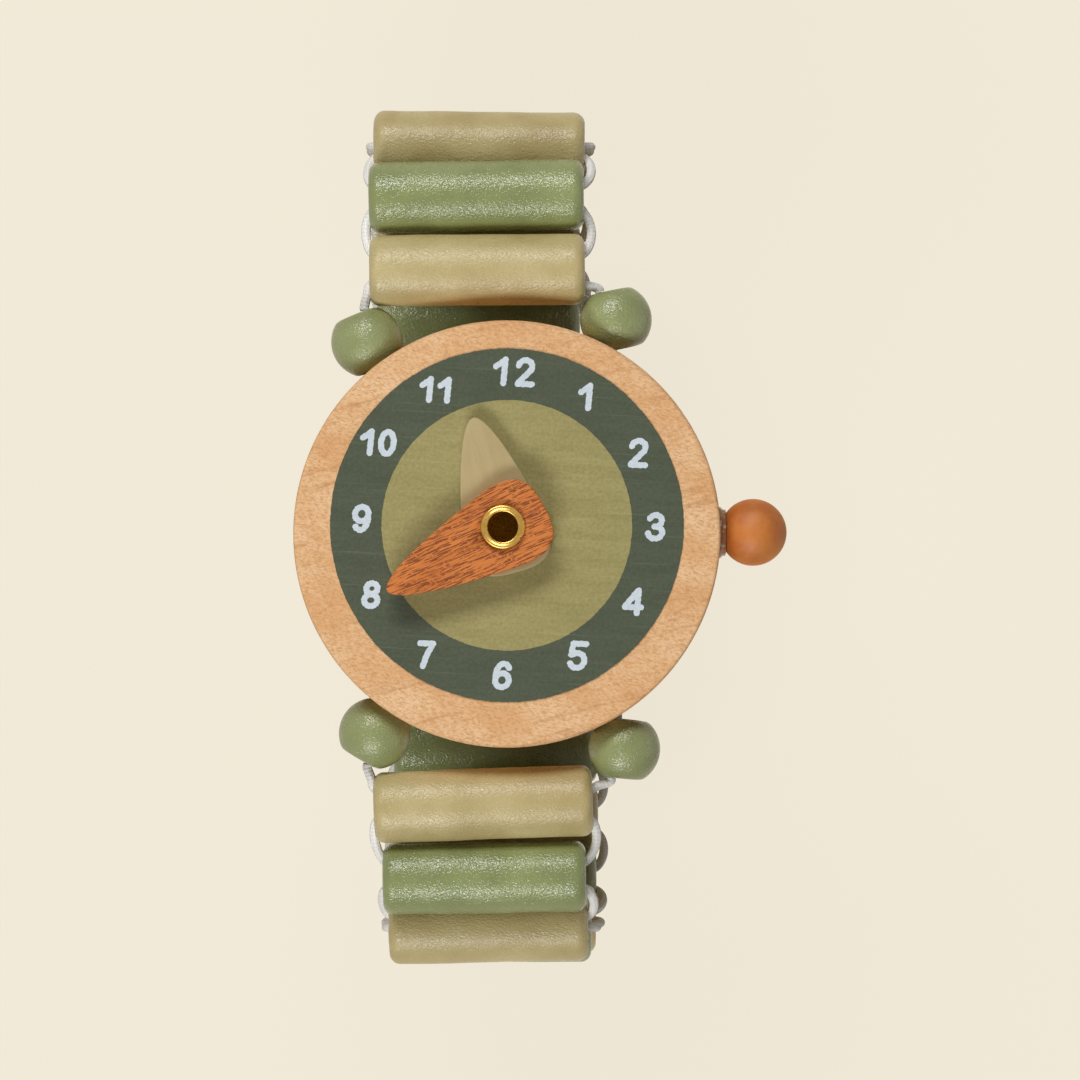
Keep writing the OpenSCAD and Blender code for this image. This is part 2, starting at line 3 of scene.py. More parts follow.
import bpy
import numpy as np
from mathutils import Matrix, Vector


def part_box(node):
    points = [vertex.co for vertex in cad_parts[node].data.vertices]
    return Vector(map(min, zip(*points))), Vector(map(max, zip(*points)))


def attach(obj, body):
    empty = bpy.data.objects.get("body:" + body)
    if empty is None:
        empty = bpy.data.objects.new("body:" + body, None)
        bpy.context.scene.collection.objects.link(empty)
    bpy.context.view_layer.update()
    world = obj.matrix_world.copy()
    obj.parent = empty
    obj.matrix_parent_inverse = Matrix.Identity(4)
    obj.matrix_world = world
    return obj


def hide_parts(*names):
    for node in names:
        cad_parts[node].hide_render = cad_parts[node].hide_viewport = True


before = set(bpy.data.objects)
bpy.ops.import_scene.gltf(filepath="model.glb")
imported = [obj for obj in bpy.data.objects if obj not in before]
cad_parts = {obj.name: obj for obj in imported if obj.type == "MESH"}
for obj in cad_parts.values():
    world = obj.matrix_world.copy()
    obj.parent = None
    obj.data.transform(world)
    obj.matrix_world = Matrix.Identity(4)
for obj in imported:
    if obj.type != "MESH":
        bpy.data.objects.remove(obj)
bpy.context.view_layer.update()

MM = 0.001  # every size below is in millimetres until the mesh is made
UP = np.array([0.0, 0.0, 1.0])
ACROSS = np.array([1.0, 0.0, 0.0])


def middle_of(node):
    """Middle of a node's box, in millimetres."""
    low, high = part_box(node)
    return np.array((low + high) / 2) / MM


# Sizes, nearly as in the part's source. The elastic and the hands' turns follow the photo more closely
CASE = middle_of("case_disc")
CASE_R, CASE_HALF = 17.75, 4.0
DIAL_Z, BACK_Z = CASE[2] + CASE_HALF, CASE[2] - CASE_HALF
HUB = np.array([CASE[0] - 0.33, 0.83])
PRINT = np.array([CASE[0], 0.97])
RING_R, CENTRE_R, CENTRE_HOLE_R = 14.68, 10.4, 1.52
PRINT_T, NUMERAL_T, HAND_GAP, HAND_T, HAND_HOLE_R = 0.08, 0.05, 0.1, 1.1, 1.5
HOUR_Z = DIAL_Z + PRINT_T + HAND_GAP
MINUTE_Z = HOUR_Z + HAND_T + HAND_GAP
LIP_Z = MINUTE_Z + HAND_T + HAND_GAP
MINUTE_TURN, HOUR_TURN = 241.7, 344.4
TUBE_IN_R, TUBE_OUT_R, FLARE_R = 1.25, 1.45, 2.1
CROWN = np.array([CASE[0] + CASE_R + 2.85, 0.39, CASE[2]])
CROWN_R, CROWN_FLAT, DOWEL_HOLE_R, GLUE_HOLE_R, GLUE_SEAT = 2.8, 2.3, 1.05, 1.1, 0.15
BAR_R, BAR_BORE_R, BAR_ROUND = 3.0, 1.6, 0.9
BEAD_R, BEAD_HALF, BEAD_BORE_R = 3.0, 2.45, 1.25
CORD_R, CORD_SIDE, STRAND_END, CORD_LEAN = 0.4, 1.17, 4.0, 0.82
LOOP_OUT, LOOP_TUCK = {-1: 0.3, 1: 0.6}, 0.7
PITCH, REAR_LENGTH, LINKS = 6.3, 18.0, 10  # there are ten bars on each side, and the rear bar closes them
UPPER_LENGTHS = [18.0, 18.0, 17.82, 18.0, 18.0, 17.82, 18.0, 18.0, 17.82, 18.0]
LOWER_LENGTHS = [18.288, 17.01, 16.83, 17.28, 18.0, 18.0, 18.18, 18.0, 17.82, 18.0]
UPPER_TURNS = [0.5, 1.1, -0.7] + [0.0] * (LINKS - 3)
LOWER_TURNS = [2.0, 0.9, 1.2] + [0.0] * (LINKS - 3)
BEADS = {  # tilt of each corner bead's hole, clockwise from 12 o'clock
    "bead_upper_left": -22.0, "bead_upper_right": -12.0,
    "bead_lower_left": 210.0, "bead_lower_right": 186.0,
}
NEARLY_SHUT = 0.02  # radius where a turned profile stops and a flat end face closes it


# Meshes
def add_object(name, data):
    """A new object in the scene, at the origin."""
    made = bpy.data.objects.new(name, data)
    bpy.context.scene.collection.objects.link(made)
    return made


def grid_faces(grid, loop_u, along, start):
    """Faces of one grid, numbered from start, and the texture places of their corners.
    The grid's signed volume is a sixth of the sum of a . (b x c) over its triangles. Where it is negative,
    the faces are turned round, so that they point outwards."""
    rows, columns = grid.shape[:2]
    number = np.arange(rows * columns).reshape(rows, columns)
    low = number if loop_u else number[:-1]
    high = np.roll(number, -1, axis=0) if loop_u else number[1:]
    around = [low, high, np.roll(high, -1, axis=1), np.roll(low, -1, axis=1)]
    quads = np.stack(around, axis=-1).reshape(-1, 4)
    flat = grid.reshape(-1, 3)
    centre = flat.mean(axis=0)
    a, b, c, d = (flat[quads[:, n]] - centre for n in range(4))
    inside_out = (a * np.cross(b, c)).sum() + (a * np.cross(c, d)).sum() < 0
    row = np.repeat(np.arange(len(low)), columns)
    column = np.tile(np.arange(columns), len(low))
    u0, u1, v0, v1 = along[row], along[row + 1], column / columns, (column + 1) / columns
    marks = np.stack([np.stack(spot, 1) for spot in ((u0, v0), (u1, v0), (u1, v1), (u0, v1))], 1)
    if inside_out:
        quads, marks = quads[:, ::-1], marks[:, ::-1]
    faces, marks = (quads + start).tolist(), [marks.reshape(-1, 2)]
    if not loop_u:
        ends = [number[0], number[-1][::-1]]
        faces += [((end[::-1] if inside_out else end) + start).tolist() for end in ends]
        share = np.arange(columns) / columns
        marks += [np.stack([np.full(columns, along[n]), share], 1) for n in (0, rows - 1)]
    return faces, np.concatenate(marks)


def grid_piece(name, grids, material, body, nodes, loop_u=False, smooth=True, lengths=None):
    """Quads over grids of points (rows, columns, 3). The columns always close into a ring.
    Rows close too where loop_u is true, and otherwise a flat face closes each end.
    The first texture direction counts the rows, or is the length along them in millimetres where lengths
    are given, and the second is the share of the ring."""
    corners, faces, marks, start = [], [], [], 0
    for index, grid in enumerate(grids):
        along = np.arange(len(grid) + 1, dtype=float) if lengths is None else lengths[index]
        grid_made, grid_marks = grid_faces(grid, loop_u, along, start)
        corners.append(grid.reshape(-1, 3) * MM)
        faces += grid_made
        marks.append(grid_marks)
        start += len(corners[-1])
    mesh = bpy.data.meshes.new(name)
    mesh.from_pydata(np.concatenate(corners).tolist(), [], faces)
    mesh.uv_layers.new(name="UVMap").data.foreach_set("uv", np.concatenate(marks).ravel())
    mesh.polygons.foreach_set("use_smooth", [smooth] * len(mesh.polygons))
    mesh.materials.append(material)
    mesh.update()
    piece = add_object(name, mesh)
    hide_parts(*nodes)
    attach(piece, body)


def wobble(angle, seed, waves, size):
    """Smooth irregular ripple of an angle: sines of several counts with seeded phases, about size high."""
    rng = np.random.default_rng(seed)
    phase = rng.uniform(0, 2 * np.pi, len(waves))
    share = rng.uniform(0.5, 1, len(waves))
    ripple = sum(s * np.sin(n * angle + p) for n, p, s in zip(waves, phase, share))
    return size * ripple / np.sqrt(len(waves))


def arc(middle, radius, start, end, count):
    """Points on an arc, from start to end in degrees, as (count, 2)."""
    a = np.radians(np.linspace(start, end, count))
    return np.stack([middle[0] + radius * np.cos(a), middle[1] + radius * np.sin(a)], axis=1)


def turned_clockwise(flat, degrees):
    """Flat points turned clockwise about the origin."""
    angle = np.radians(-degrees)
    spin = np.array([[np.cos(angle), -np.sin(angle)], [np.sin(angle), np.cos(angle)]])
    return flat @ spin.T


def length_along(path):
    """The length of a path from its start to each of its points."""
    return np.concatenate([[0], np.cumsum(np.linalg.norm(np.diff(path, axis=0), axis=1))])


def revolved(profile, origin, axis, side, sides, ripple):
    """A profile of (distance along the axis, radius) turned about the axis:
    p = origin + t axis + r (cos a side + sin a (axis x side)), where the ripple is added to the radius r."""
    a = np.linspace(0, 2 * np.pi, sides, endpoint=False)
    along, radius = profile[:, 0][:, None], profile[:, 1][:, None] * np.ones((1, sides))
    radius = radius + ripple(along, a[None, :], radius)
    other = np.cross(axis, side)
    return (origin + along[..., None] * axis + (radius * np.cos(a))[..., None] * side
            + (radius * np.sin(a))[..., None] * other)


def rounded_path(corners, bend):
    """Points along straight runs joined by round bends of one radius, for corners given as (n, 2)."""
    step, bend_points = 0.35, 9
    corners = [np.array(c, float) for c in corners]
    parts, last = [], corners[0]
    for before, here, after in zip(corners, corners[1:], corners[2:]):
        into, out = here - before, after - here
        into, out = into / np.linalg.norm(into), out / np.linalg.norm(out)
        turn = np.arctan2(into[0] * out[1] - into[1] * out[0], into @ out)
        back = bend * np.tan(abs(turn) / 2)
        start = here - back * into
        left = np.array([-into[1], into[0]]) * np.sign(turn)
        count = max(2, int(np.linalg.norm(start - last) / step))
        parts.append(last + np.linspace(0, 1, count, endpoint=False)[:, None] * (start - last))
        a = np.linspace(0, abs(turn), bend_points)[:, None]
        parts.append(start + bend * (left + np.sin(a) * into - np.cos(a) * left))
        last = parts[-1][-1]
        parts[-1] = parts[-1][:-1]
    count = max(2, int(np.linalg.norm(corners[-1] - last) / step))
    parts.append(last + np.linspace(0, 1, count)[:, None] * (corners[-1] - last))
    return np.concatenate(parts)


def tube(path, normal, seed):
    """Round cord along a flat path: p = path + r (cos a normal + sin a (direction x normal)).
    The radius swells and thins a little along its length, as an elastic under uneven pull does.
    Gives the grid and the length from the path's start to each of its rows."""
    sides, thinner, swell = 16, 0.02, 0.015
    heading = np.gradient(path, axis=0)
    heading /= np.linalg.norm(heading, axis=1)[:, None]
    length = length_along(path)
    other = np.cross(heading, normal)
    a = np.linspace(0, 2 * np.pi, sides, endpoint=False)
    r = CORD_R * (1 - thinner + wobble(length, seed, (1.1, 2.3, 3.7), swell))[:, None]
    grid = (path[:, None, :] + (r * np.cos(a))[..., None] * normal[None, None, :]
            + (r * np.sin(a))[..., None] * other[:, None, :])
    return grid, length


# Materials
FACTOR, UNDER, OVER, MIXED = 0, 6, 7, 2  # sockets of a Mix node that mixes two colours


def linear(colour):
    """An sRGB hex colour as linear light: c / 12.92 below 0.04045, else ((c + 0.055) / 1.055) ** 2.4."""
    c = np.array([int(colour[n:n + 2], 16) for n in (1, 3, 5)]) / 255
    return (*np.where(c <= 0.04045, c / 12.92, ((c + 0.055) / 1.055) ** 2.4), 1.0)


def add(tree, kind, inputs=None, stops=(), **settings):
    """Adds one node with its settings. An input given as a socket or a node is linked, a hex colour is turned
    to linear, and any other is set. Stops are the places and colours of a ramp."""
    node = tree.nodes.new("ShaderNode" + kind)
    for name, value in settings.items():
        setattr(node, name, value)
    for name, value in (inputs or {}).items():
        if isinstance(value, bpy.types.Node):
            value = value.outputs[0]
        if isinstance(value, bpy.types.NodeSocket):
            tree.links.new(value, node.inputs[name])
        else:
            node.inputs[name].default_value = linear(value) if isinstance(value, str) else value
    for count, (spot, colour) in enumerate(stops):
        element = node.color_ramp.elements[count] if count < 2 else node.color_ramp.elements.new(spot)
        element.position, element.color = spot, linear(colour)
    return node


def bare_tree(owner):
    """The emptied node tree of a material or a world."""
    owner.use_nodes = True
    owner.node_tree.nodes.clear()
    return owner.node_tree


def make_finish(name, look, **values):
    """A material made of one Principled shader, whose inputs come from a look and its values."""
    material = bpy.data.materials.new(name)
    tree = bare_tree(material)
    add(tree, "OutputMaterial", {"Surface": add(tree, "BsdfPrincipled", look(tree, **values))})
    return material


def spot_mm(tree, scale=(1, 1, 1), turn=0.0, centre=(0, 0, 0)):
    """Object coordinates in millimetres, counted from a centre, turned about Z in degrees and then scaled."""
    spot = add(tree, "TexCoord").outputs["Object"]
    near = add(tree, "VectorMath", {0: spot, 1: tuple(c * MM for c in centre)}, operation="SUBTRACT")
    turned = add(tree, "Mapping", {"Vector": near, "Rotation": (0, 0, np.radians(turn))})
    return add(tree, "Mapping", {"Vector": turned, "Scale": tuple(s / MM for s in scale)})


def marked(tree, pattern, low, high, most, under, over):
    """One colour over another where a pattern rises from low to high, covering it up to the share most."""
    share = add(tree, "MapRange", {"Value": pattern, "From Min": low, "From Max": high, "To Max": most})
    return add(tree, "Mix", {FACTOR: share, UNDER: under, OVER: over}, data_type="RGBA").outputs[MIXED]


def sanded_beech(tree):
    """Sanded bare beech: pale tan, mottled by fibres about 0.15 mm wide. Darker growth lines one to three
    millimetres apart run along it, and pale sanding scratches about 0.25 mm wide cross them at a slant."""
    tone = add(tree, "TexNoise", {"Vector": spot_mm(tree, (0.5, 1, 1), 16), "Scale": 0.35, "Detail": 3.0})
    fibres = add(tree, "TexNoise", {"Vector": spot_mm(tree, (1.0, 2.4, 2.4), 12), "Scale": 3.2, "Detail": 3.0,
                                    "Roughness": 0.8})
    lines = add(tree, "TexNoise", {"Vector": spot_mm(tree, (0.14, 1.3, 1.3), -14), "Scale": 1.0,
                                   "Detail": 5.0, "Roughness": 0.62})
    scratches = add(tree, "TexNoise", {"Vector": spot_mm(tree, (0.7, 4.2, 4.2), 58), "Scale": 1.0,
                                       "Detail": 2.0})
    base = add(tree, "ValToRGB", {"Fac": tone},
               stops=[(0.36, "#e4b07b"), (0.5, "#ebbd8b"), (0.64, "#f1c99a")])
    mottled = marked(tree, fibres, 0.44, 0.62, 0.8, base, "#cb8d52")
    lined = marked(tree, lines, 0.57, 0.72, 0.6, mottled, "#be8049")
    pale = marked(tree, scratches, 0.52, 0.68, 0.2, lined, "#f3d0a4")
    rough = add(tree, "Bump", {"Height": fibres, "Distance": 0.025 * MM})
    return {"Base Color": pale, "Roughness": 0.66,
            "Normal": add(tree, "Bump", {"Height": scratches, "Distance": 0.01 * MM, "Normal": rough})}


def sprayed_paint(tree, dark, plain, light, gloss, peel, shine):
    """Water paint sprayed on a wooden bar: satin. Its orange peel is about 0.2 mm wide and breaks the gloss
    into sparks. Its tone drifts a little where the coat is thinner, and it has faint darker specks as fine
    as the peel."""
    tone = add(tree, "TexNoise", {"Vector": spot_mm(tree), "Scale": 0.22, "Detail": 4.0})
    grit = add(tree, "TexNoise", {"Vector": spot_mm(tree, (1.0, 1.4, 1.4)), "Scale": 4.4, "Detail": 2.0})
    peeled = add(tree, "TexNoise", {"Vector": spot_mm(tree, (1.0, 1.3, 1.3), 20), "Scale": 4.6, "Detail": 1.0,
                                    "Distortion": 0.6})
    waves = add(tree, "TexNoise", {"Vector": spot_mm(tree), "Scale": 0.8, "Detail": 2.0})
    colour = add(tree, "ValToRGB", {"Fac": tone}, stops=[(0.34, dark), (0.5, plain), (0.66, light)])
    satin = add(tree, "MapRange", {"Value": waves, "From Min": 0.3, "From Max": 0.7, "To Min": gloss - 0.05,
                                   "To Max": gloss + 0.09})
    wavy = add(tree, "Bump", {"Height": waves, "Distance": 0.035 * MM})
    return {"Base Color": marked(tree, grit, 0.48, 0.7, 0.4, colour, dark), "Roughness": satin,
            "Specular IOR Level": shine,
            "Normal": add(tree, "Bump", {"Height": peeled, "Distance": peel * MM, "Normal": wavy})}


def matt_paint(tree):
    """Matt water paint on a turned ball: even, with a soft fine tooth about 0.3 mm wide."""
    tooth = add(tree, "TexNoise", {"Vector": spot_mm(tree), "Scale": 3.2, "Detail": 2.0})
    waves = add(tree, "TexNoise", {"Vector": spot_mm(tree), "Scale": 0.6, "Detail": 3.0})
    colour = add(tree, "ValToRGB", {"Fac": waves}, stops=[(0.35, "#bd6927"), (0.65, "#cd7c37")])
    wavy = add(tree, "Bump", {"Height": waves, "Distance": 0.06 * MM})
    return {"Base Color": colour, "Roughness": 0.55,
            "Normal": add(tree, "Bump", {"Height": tooth, "Distance": 0.04 * MM, "Normal": wavy})}


def stained_wood(tree, plain, light, dark, turn, pores, depth):
    """Stained open-grained wood: dark pores about 0.1 mm wide and 1 to 3 mm long, broken by their ragged
    ends, run along one direction."""
    centre = (HUB[0], HUB[1], 0)
    streak = add(tree, "TexNoise", {"Vector": spot_mm(tree, (10.8, 0.6, 1.0), turn, centre), "Scale": 1.0,
                                    "Detail": 2.0, "Roughness": 0.6, "Distortion": 0.1})
    tone = add(tree, "TexNoise", {"Vector": spot_mm(tree, (0.9, 0.2, 0.5), turn, centre), "Scale": 1.0,
                                  "Detail": 3.0})
    grit = add(tree, "TexNoise", {"Vector": spot_mm(tree), "Scale": 3.6, "Detail": 2.0})
    base = add(tree, "ValToRGB", {"Fac": tone}, stops=[(0.35, plain), (0.65, light)])
    gaps = add(tree, "MapRange", {"Value": grit, "From Min": 0.32, "From Max": 0.44})
    open_pores = add(tree, "MapRange", {"Value": streak, "From Min": 0.51, "From Max": 0.57, "To Max": pores})
    marks = add(tree, "Math", {0: gaps, 1: open_pores}, operation="MULTIPLY")
    colour = add(tree, "Mix", {FACTOR: marks, UNDER: base, OVER: dark}, data_type="RGBA").outputs[MIXED]
    fine = add(tree, "Bump", {"Height": grit, "Distance": 0.02 * MM})
    return {"Base Color": colour, "Roughness": 0.6,
            "Normal": add(tree, "Bump", {"Height": marks, "Distance": -depth * MM, "Normal": fine})}


def printed_ink(tree, dark, light, scratch, marks):
    """Thin printed ink over sanded wood: flat and nearly even, with a fine tooth. A few light scratches about
    0.2 mm wide run straight across it."""
    cloud = add(tree, "TexNoise", {"Vector": spot_mm(tree, (0.3, 1.6, 1.0), 3), "Scale": 0.5, "Detail": 4.0,
                                   "Roughness": 0.7})
    tooth = add(tree, "TexNoise", {"Vector": spot_mm(tree), "Scale": 3.8, "Detail": 2.0})
    lines = add(tree, "TexNoise", {"Vector": spot_mm(tree, (0.09, 4.6, 1.0), 3), "Scale": 1.0, "Detail": 3.0,
                                   "Roughness": 0.6})
    both = add(tree, "Math", {0: cloud, 1: tooth}, operation="ADD")
    tone = add(tree, "MapRange", {"Value": both, "From Min": 0.75, "From Max": 1.25})
    colour = add(tree, "ValToRGB", {"Fac": tone}, stops=[(0.0, dark), (1.0, light)])
    return {"Base Color": marked(tree, lines, 0.6, 0.72, marks, colour, scratch), "Roughness": 0.6,
            "Specular IOR Level": 0.3, "Normal": add(tree, "Bump", {"Height": tooth, "Distance": 0.02 * MM})}


def rolled_brass(tree):
    """Rolled brass eyelet: bright, with faint rub marks about 0.3 mm wide."""
    marks = add(tree, "TexNoise", {"Vector": spot_mm(tree), "Scale": 3.5, "Detail": 3.0})
    colour = add(tree, "ValToRGB", {"Fac": marks}, stops=[(0.3, "#b8934c"), (0.7, "#c7a35a")])
    rubbed = add(tree, "MapRange", {"Value": marks, "From Min": 0.3, "From Max": 0.7, "To Min": 0.25,
                                    "To Max": 0.31})
    return {"Base Color": colour, "Metallic": 1.0, "Roughness": rubbed}


def braided_cover(tree):
    """White braided cover of an elastic cord: soft strands about 0.3 mm wide cross each other at a slant.
    Height is the product of two slanting waves, from the length along the cord and the share round it. The
    colour follows that height as painted shade: greyer where the braid is low, in the hollows between its
    strands."""
    waves_a_mm, waves_round = 1.6, 3.0
    spot = add(tree, "SeparateXYZ", {"Vector": add(tree, "TexCoord").outputs["UV"]})
    waves = []
    for lean in (waves_round, -waves_round):
        turn = add(tree, "Math", {0: spot.outputs["Y"], 1: lean}, operation="MULTIPLY")
        run = add(tree, "Math", {0: spot.outputs["X"], 1: waves_a_mm, 2: turn}, operation="MULTIPLY_ADD")
        angle = add(tree, "Math", {0: run, 1: 2 * np.pi}, operation="MULTIPLY")
        waves.append(add(tree, "Math", {0: angle}, operation="SINE"))
    height = add(tree, "Math", {0: waves[0], 1: waves[1]}, operation="MULTIPLY")
    fuzz = add(tree, "TexNoise", {"Vector": spot_mm(tree), "Scale": 5.0, "Detail": 3.0})
    # painted shade: the cord's white greys where the braid's height is low, in the hollows between strands
    colour = add(tree, "ValToRGB", {"Fac": add(tree, "MapRange", {"Value": height, "From Min": -1.0})},
                 stops=[(0.0, "#ebe7e2"), (0.5, "#f5f3ef"), (1.0, "#fbfaf8")])
    soft = add(tree, "Bump", {"Height": fuzz, "Distance": 0.05 * MM})
    return {"Base Color": colour, "Roughness": 0.9, "Sheen Weight": 0.2,
            "Normal": add(tree, "Bump", {"Height": height, "Distance": 0.02 * MM, "Normal": soft})}


def clear_glue(tree):
    """Dried clear wood glue: glossy and partly see-through, with lumps about 0.7 mm wide and a few pale
    specks. Its brown tint stands for the terracotta ball seen through it, and in part is painted shade of the
    gap between the case and the ball."""
    lumps = add(tree, "TexNoise", {"Vector": spot_mm(tree), "Scale": 1.5, "Detail": 3.0})
    specks = add(tree, "TexNoise", {"Vector": spot_mm(tree), "Scale": 2.4, "Detail": 1.0})
    # in part painted shade: the brown base colour darkens the glue as the shaded gap between case and crown
    # ball does
    colour = add(tree, "ValToRGB", {"Fac": specks}, stops=[(0.58, "#bb7d4b"), (0.66, "#f4e3d2")])
    return {"Base Color": colour, "Roughness": 0.15, "IOR": 1.47, "Transmission Weight": 0.4,
            "Normal": add(tree, "Bump", {"Height": lumps, "Distance": 0.05 * MM})}


beech = make_finish("sanded beech", sanded_beech)
beige_paint = make_finish("beige sprayed paint", sprayed_paint, dark="#b8a572", plain="#c3b27e",
                          light="#ccbb89", gloss=0.3, peel=0.05, shine=0.42)
green_paint = make_finish("sage sprayed paint", sprayed_paint, dark="#818b58", plain="#8c965f",
                          light="#96a06a", gloss=0.15, peel=0.063, shine=0.5)
bead_paint = make_finish("sage paint on beads", sprayed_paint, dark="#868e5c", plain="#919965",
                         light="#9ba370", gloss=0.2, peel=0.065, shine=0.5)
crown_paint = make_finish("terracotta paint", matt_paint)
minute_stain = make_finish("terracotta stained wood", stained_wood, plain="#cb722e", light="#d87f38",
                           dark="#7c380a", turn=MINUTE_TURN + 4, pores=0.95, depth=0.025)
hour_stain = make_finish("beige stained wood", stained_wood, plain="#b4a172", light="#baa779",
                         dark="#958457", turn=HOUR_TURN, pores=0.11, depth=0.006)
dark_ink = make_finish("dark printed ink", printed_ink, dark="#464d3d", light="#535a48", scratch="#6b7460",
                       marks=0.5)
olive_ink = make_finish("olive printed ink", printed_ink, dark="#938a57", light="#a79d69", scratch="#b5ab7c",
                        marks=0.35)
white_ink = make_finish("white printed ink", printed_ink, dark="#cbd7df", light="#dbe4eb", scratch="#e2e9ee",
                        marks=0.2)
brass = make_finish("rolled brass", rolled_brass)
braid = make_finish("white braided elastic", braided_cover)
glue = make_finish("clear dried glue", clear_glue)


# Case and print
def keep(node, material):
    """A CAD node whose shape is right keeps it and gets its finish."""
    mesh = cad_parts[node].data
    mesh.materials.clear()
    mesh.materials.append(material)


keep("case_disc", beech)
keep("rear_washer", brass)
keep("crown_pin", beech)


def print_ring(name, outer, inner, hole_middle, material, seed):
    """Thin printed ring: its edge radius ripples with the angle, as ink does over sanded wood, apart from a
    round hole that has a middle of its own. The section is a flat bar from the inner to the outer edge, and
    the top is one print thickness up."""
    points, waves, ripple = 900, (7, 19, 41, 83, 131, 197, 263), 0.022
    a = np.linspace(0, 2 * np.pi, points, endpoint=False)
    outer_r = (outer + wobble(a, seed, waves, ripple))[:, None]
    inner_r = (inner + (wobble(a, seed + 1, waves, ripple) if hole_middle is None else 0 * a))[:, None]
    inner_middle = PRINT if hole_middle is None else hole_middle
    ring = np.stack([np.cos(a), np.sin(a)], axis=1)
    rows = []
    for share, z in [(0, 0), (1, 0)] + [(share, PRINT_T) for share in (1, 0.75, 0.5, 0.25, 0)]:
        flat = (1 - share) * (inner_middle + inner_r * ring) + share * (PRINT + outer_r * ring)
        rows.append(np.column_stack([flat, np.full(points, DIAL_Z + z)]))
    grid_piece(name, [np.array(rows)], material, "case", [name], loop_u=True, smooth=False)


print_ring("dial_ring", RING_R, CENTRE_R, None, dark_ink, seed=4)
print_ring("dial_centre", CENTRE_R, CENTRE_HOLE_R, HUB, olive_ink, seed=5)

# Numerals: straight strokes, open arcs and closed ovals, in shares of their height
STROKES = {
    1: [[(0.12, -0.39), (0.12, 0.39)], [(-0.17, 0.15), (0.12, 0.37)]],
    2: [[(0.17, 0.06), (-0.21, -0.37)], [(-0.21, -0.39), (0.25, -0.39)]],
    4: [[(0.15, -0.39), (0.15, 0.39)], [(0.12, 0.37), (-0.27, -0.17)], [(-0.27, -0.19), (0.28, -0.19)]],
    5: [[(0.24, 0.39), (-0.17, 0.39)], [(-0.17, 0.39), (-0.21, 0.03)]],
    7: [[(-0.23, 0.39), (0.21, 0.39)], [(0.21, 0.39), (0.03, 0), (-0.07, -0.39)]],
}
ARCS = {  # middle, half width, half height, and the angles where the arc starts and ends
    2: [(-0.01, 0.18, 0.22, 0.21, 172, -35)],
    3: [(-0.03, 0.2, 0.205, 0.19, 160, -96), (-0.01, -0.19, 0.235, 0.2, 96, -172)],
    5: [(-0.01, -0.15, 0.235, 0.24, 128, -155)],
    6: [(0.02, -0.02, 0.245, 0.41, 180, 42)],
    9: [(-0.01, 0.02, 0.24, 0.41, 0, -132)],
}
OVALS = {  # middle, half width and half height
    0: [(0, 0, 0.225, 0.39)],
    6: [(0, -0.16, 0.225, 0.23)],
    8: [(0, 0.21, 0.19, 0.18), (0, -0.19, 0.225, 0.2)],
    9: [(0, 0.15, 0.225, 0.24)],
}
NUMERAL_H, STROKE_W, NUMERAL_LEAN, PRINT_TURN, NUMERAL_R = 2.45, 0.5, 0.055, 2.4, 12.45
NUMERAL_TURNS = [-0.9, -1.2, -1.8, -1.3, -0.9, -0.7, -0.4, 0.5, 0.3, 0.2, -0.1, -0.1]
NUMERAL_OUTS = [0.005, 0.001, -0.006, -0.015, -0.01, 0.001, 0.018, 0.015, -0.029, 0.025, 0.021, 0.025]
NUMERAL_HEIGHTS = [0.99, 1.05, 1.02, 0.99, 1.05, 1.02, 0.99, 0.99, 1, 0.95, 0.92, 1.04]
DIGIT_STEPS = {10: 0.68, 11: 0.61, 12: 0.83}
TOP_STEP = 0.002  # the tops of neighbouring strokes differ by this, so that none flickers where they cross


def stroke_lines(value, height):
    """The middle lines of a numeral's strokes in millimetres, with whether each line closes on itself.
    Points lie about 0.05 mm apart, close enough for the ripple of the ink's edge."""
    spacing, arc_points, oval_points = 0.05, 60, 96
    lines = []
    for points in STROKES.get(value, []):
        points = np.array(points) * height
        run = length_along(points)
        cuts = np.linspace(0, run[-1], max(8, int(run[-1] / spacing)))
        lines.append((np.stack([np.interp(cuts, run, points[:, n]) for n in (0, 1)], 1), False))
    for x, y, half_w, half_h, start, end in ARCS.get(value, []):
        a = np.radians(np.linspace(start, end, arc_points))
        lines.append((np.stack([x + half_w * np.cos(a), y + half_h * np.sin(a)], 1) * height, False))
    for x, y, half_w, half_h in OVALS.get(value, []):
        a = np.radians(np.linspace(0, 360, oval_points, endpoint=False))
        lines.append((np.stack([x + half_w * np.cos(a), y + half_h * np.sin(a)], 1) * height, True))
    return lines


def stroke_edges(line, closed, seed):
    """The left and right edges of an inked stroke, half a width from its line. Both ripple on their own, as
    ink does at its border. An open stroke ends round: its width falls as the cosine of the cap's angle."""
    size, cap_points, other_edge = 0.034, 6, 50
    if closed:
        heading = np.roll(line, -1, axis=0) - np.roll(line, 1, axis=0)
        run, waves = np.arange(len(line)) / len(line) * 2 * np.pi, (9, 17, 25)
    else:
        heading = np.gradient(line, axis=0)
    heading /= np.linalg.norm(heading, axis=1)[:, None]
    half = np.full(len(line), STROKE_W / 2)
    if not closed:
        cap = np.radians(np.linspace(85, 10, cap_points))[:, None]
        line = np.concatenate([line[0] - np.sin(cap) * heading[0] * STROKE_W / 2, line,
                               line[-1] + np.sin(cap[::-1]) * heading[-1] * STROKE_W / 2])
        half = np.concatenate([np.cos(cap[:, 0]) * STROKE_W / 2, half, np.cos(cap[::-1, 0]) * STROKE_W / 2])
        heading = np.concatenate([np.repeat(heading[:1], cap_points, 0), heading,
                                  np.repeat(heading[-1:], cap_points, 0)])
        run, waves = length_along(line), (11.0, 19.0, 29.0)
    normal = np.stack([-heading[:, 1], heading[:, 0]], axis=1)
    ripple = [wobble(run, seed + n, waves, size) * half * 2 / STROKE_W for n in (0, other_edge)]
    return line + normal * (half + ripple[0])[:, None], line - normal * (half + ripple[1])[:, None]


